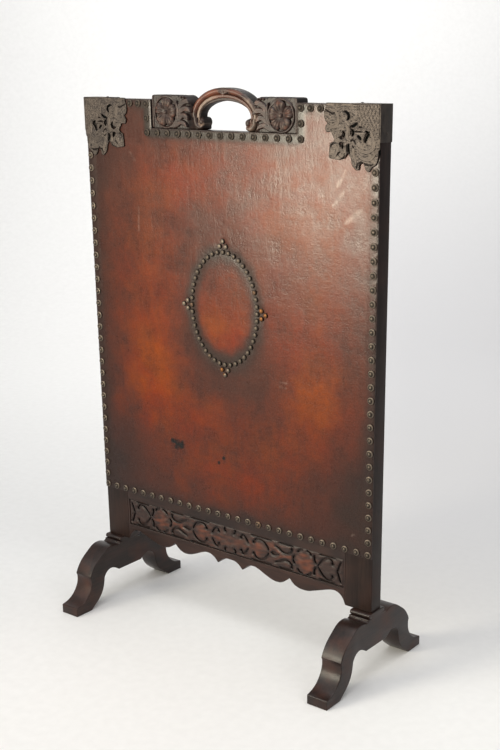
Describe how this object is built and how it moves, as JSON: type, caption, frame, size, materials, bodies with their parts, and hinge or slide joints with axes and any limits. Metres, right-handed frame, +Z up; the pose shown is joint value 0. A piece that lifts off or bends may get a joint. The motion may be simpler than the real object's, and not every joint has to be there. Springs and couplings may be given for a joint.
{
  "type": "fire screen",
  "caption": "Free-standing fire screen: studded leather panel in a dark oak frame with carved handle crest, brass corner mounts and scrolled feet.",
  "frame": {"origin": "on the floor, midway between the feet and midway between their toes", "axes": "+Z up, +X to the right seen from the leather side, -Y the way the leather faces"},
  "size_m": [0.606, 0.2836, 0.9375],
  "materials": {
    "frame_oak": "dark stained, waxed",
    "carved_oak": "dark stained, worn warm on the high spots",
    "board_pine": "stained",
    "fret_walnut": "pierced, worn orange brown",
    "panel_leather": "tan, darkened at its edges",
    "band_leather": "dark, tooled edge",
    "stud_bronze": "dark patina",
    "aged_brass": "dull patina",
    "screw_steel": "dull"
  },
  "bodies": {
    "root": {"stile_left": "frame_oak", "stile_right": "frame_oak", "top_rail": "frame_oak", "bottom_rail": "frame_oak", "joint_pegs": "frame_oak", "panel_board": "board_pine", "fret_panel": "fret_walnut", "leather_front": "panel_leather", "leather_banding": "band_leather", "studs_left": "stud_bronze", "studs_right": "stud_bronze", "studs_bottom": "stud_bronze", "studs_crest": "stud_bronze", "medallion_studs": "stud_bronze", "medallion_clusters": "stud_bronze", "crest_handle": "carved_oak", "crest_dowels": "frame_oak", "corner_mount_left": "aged_brass", "corner_mount_right": "aged_brass", "mount_pins": "aged_brass", "foot_left": "frame_oak", "foot_right": "frame_oak", "foot_screws": "screw_steel"}
  },
  "joints": []
}
